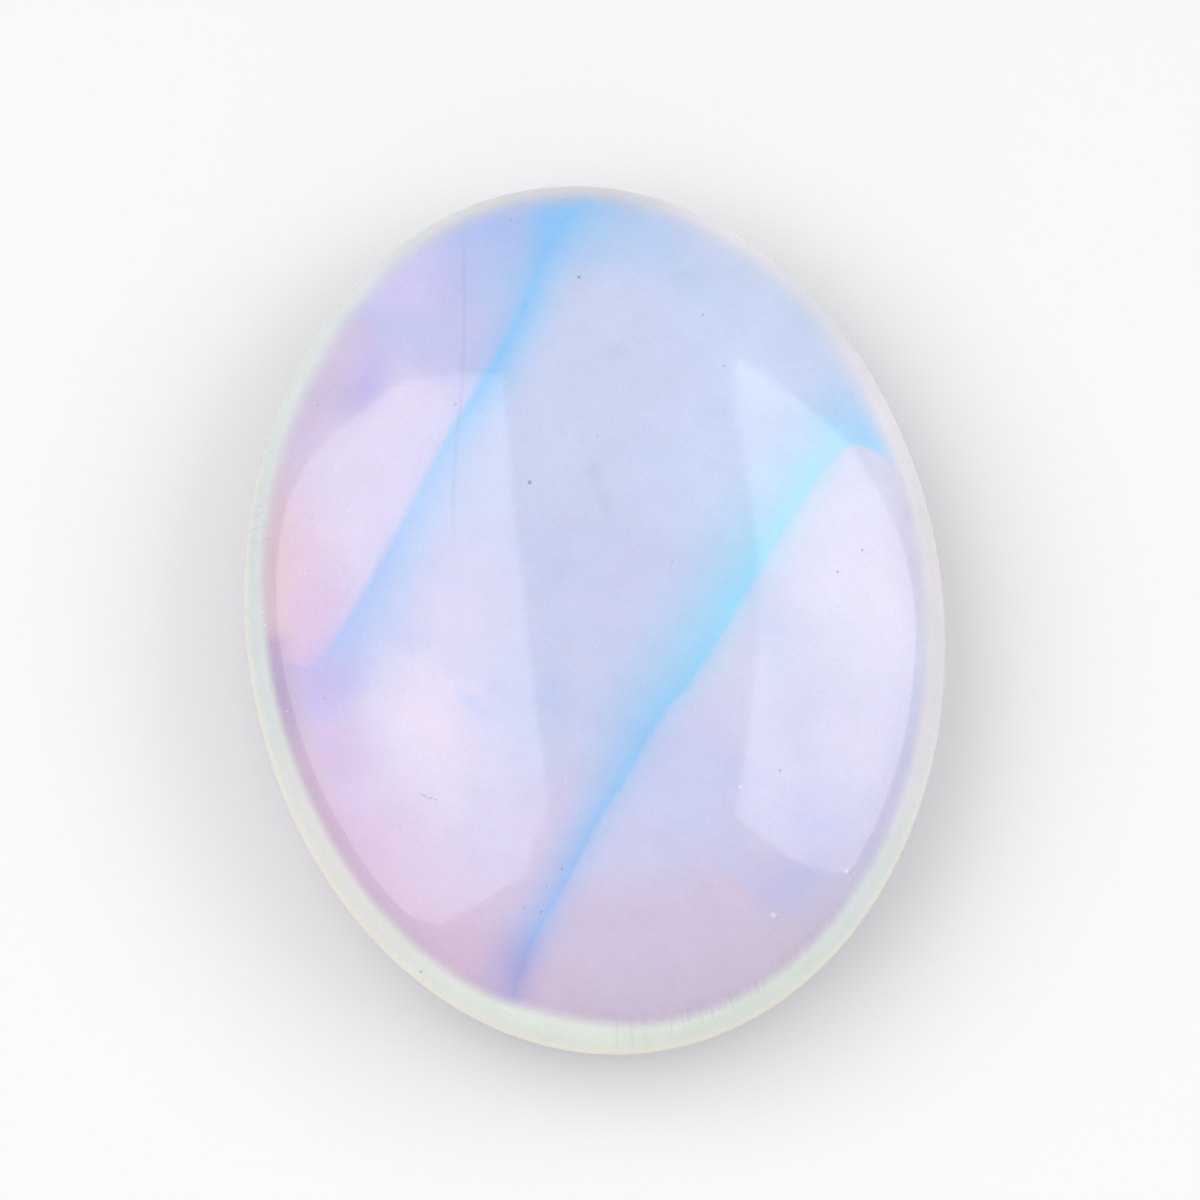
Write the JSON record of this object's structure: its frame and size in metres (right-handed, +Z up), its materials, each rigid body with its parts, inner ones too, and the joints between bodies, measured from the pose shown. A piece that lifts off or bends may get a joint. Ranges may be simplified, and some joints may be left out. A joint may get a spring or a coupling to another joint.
{
  "type": "palm stone",
  "caption": "Oval palm stone of milky opalescent glass, a shallow dome on each face, a rounded rim and a small flat spot underneath to rest on.",
  "frame": {"origin": "centre of the small flat spot that the stone rests on, at the bottom of its lower dome", "axes": "+Z up through the thickness, +Y along the oval's long axis, +X across it; the stone is the same on both sides of each"},
  "size_m": [0.0474, 0.06, 0.0169],
  "materials": {
    "opal_glass": "polished, milky and translucent, with a paler rim"
  },
  "bodies": {
    "root": {"stone": "opal_glass"}
  },
  "joints": []
}
